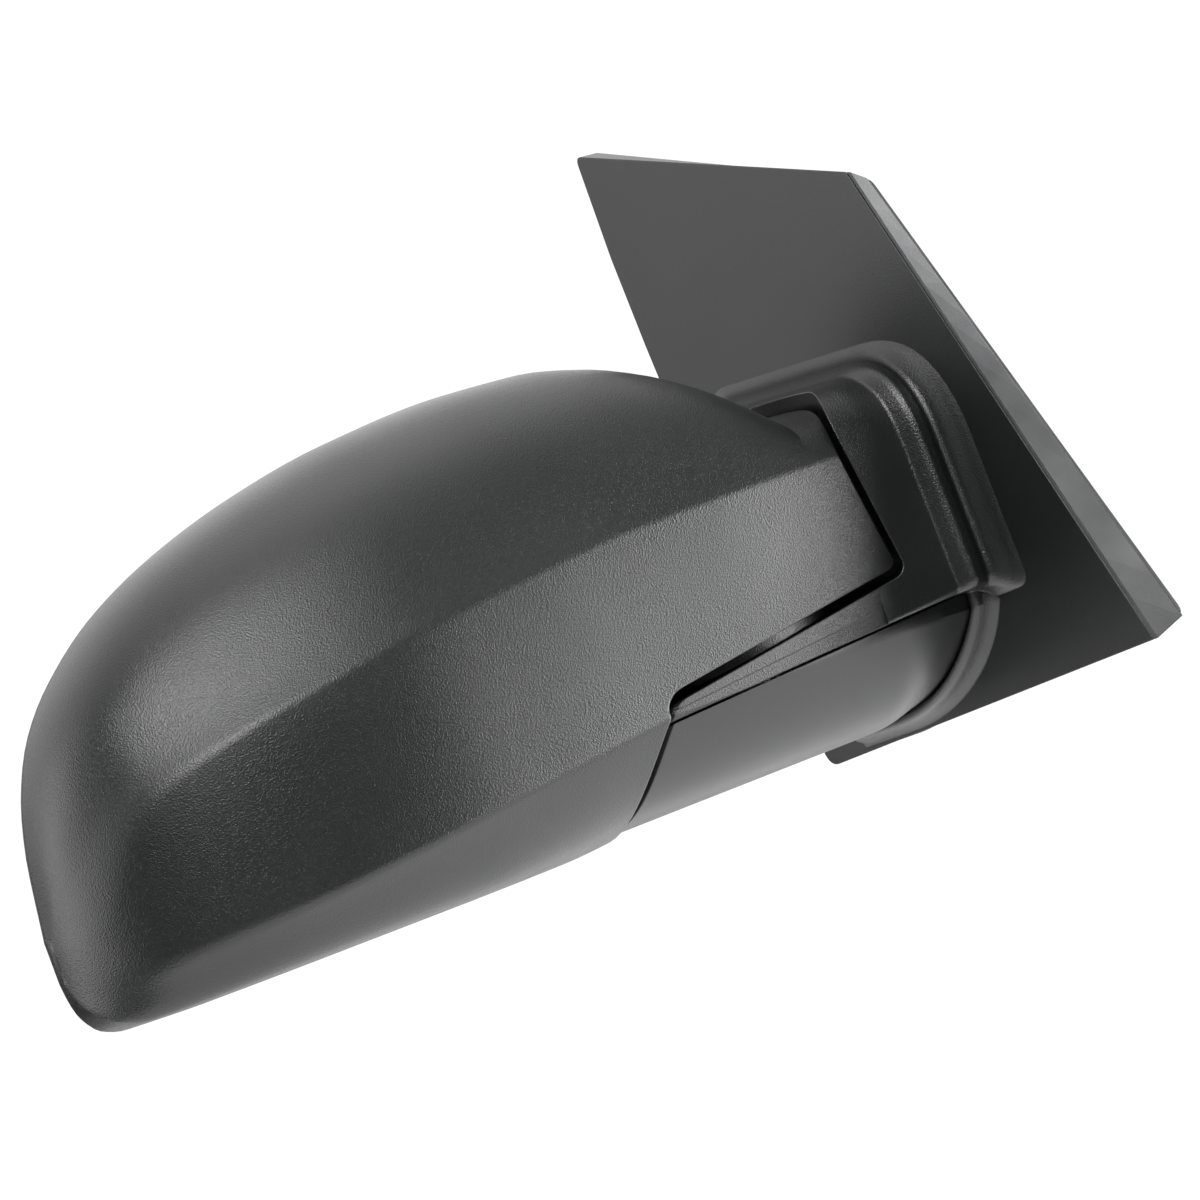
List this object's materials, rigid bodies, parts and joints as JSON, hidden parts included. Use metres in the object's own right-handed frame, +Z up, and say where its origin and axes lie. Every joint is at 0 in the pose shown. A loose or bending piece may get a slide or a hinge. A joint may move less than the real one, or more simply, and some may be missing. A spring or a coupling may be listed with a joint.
{
  "type": "car side mirror",
  "caption": "Folding right-hand car door mirror: moulded head on a tilted pivot, base with sail plate and arm, and power-adjusted heated glass.",
  "frame": {"origin": "on the mounting face of the base bracket, level with the root of the arm", "axes": "+X inboard to the door, normal to the mounting face; +Y to the rear of the car, the way the glass looks; +Z up"},
  "size_m": [0.341, 0.216, 0.2354],
  "materials": {
    "black_grain": "moulded black plastic with a fine pebble grain",
    "black_smooth": "moulded black plastic, satin, very fine grain",
    "inner_plastic": "moulded dark plastic, plain",
    "rubber": "black sealing rubber",
    "die_cast": "die cast, as cast",
    "steel": "zinc plated steel",
    "heater": "printed heating film",
    "mirror": "convex-mirror glass, silvered"
  },
  "bodies": {
    "base": {"sail_cover": "black_smooth", "arm_cover": "black_smooth", "edge_seal": "rubber", "base_gasket": "rubber", "base_bracket": "die_cast", "harness_grommet": "rubber", "stud_1": "steel", "stud_2": "steel", "stud_3": "steel", "pivot_post": "steel", "detent_washer": "steel", "fold_spring": "steel", "spring_retainer": "steel"},
    "head": {"head_shell": "black_grain", "rear_bezel": "black_grain", "head_frame": "inner_plastic", "frame_screw_1": "steel", "frame_screw_2": "steel", "frame_screw_3": "steel", "actuator_case": "inner_plastic", "actuator_cover": "inner_plastic", "yaw_motor": "steel", "pitch_motor": "steel", "case_screw_1": "steel", "case_screw_2": "steel", "case_screw_3": "steel"},
    "gimbal": {"gimbal_ring": "inner_plastic"},
    "glass": {"glass_backing": "inner_plastic", "heater_pad": "heater", "mirror_glass": "mirror"},
    "yaw_screw": {"yaw_plunger": "inner_plastic"},
    "pitch_screw": {"pitch_plunger": "inner_plastic"}
  },
  "joints": [
    {"name": "head_fold", "type": "hinge", "parent": "base", "child": "head", "pos_m": [-0.092, 0, -0.022], "axis": [-0.1392, 0, 0.9903], "range_deg": [-68, 50]},
    {"name": "glass_yaw", "type": "hinge", "parent": "head", "child": "gimbal", "pos_m": [-0.212, 0.014, 0.014], "axis": [0, 0, 1], "range_deg": [-7, 7]},
    {"name": "glass_pitch", "type": "hinge", "parent": "gimbal", "child": "glass", "pos_m": [-0.212, 0.014, 0.014], "axis": [1, 0, 0], "range_deg": [-7, 7]},
    {"name": "yaw_screw_slide", "type": "slide", "parent": "head", "child": "yaw_screw", "axis": [0, 1, 0], "range_m": [-0.0038, 0.0038]},
    {"name": "pitch_screw_slide", "type": "slide", "parent": "head", "child": "pitch_screw", "axis": [0, 1, 0], "range_m": [-0.0038, 0.0038]}
  ],
  "couplings": [
    {"joint": "yaw_screw_slide", "follows": "glass_yaw", "m_per_rad": 0.03},
    {"joint": "pitch_screw_slide", "follows": "glass_pitch", "m_per_rad": 0.03}
  ]
}
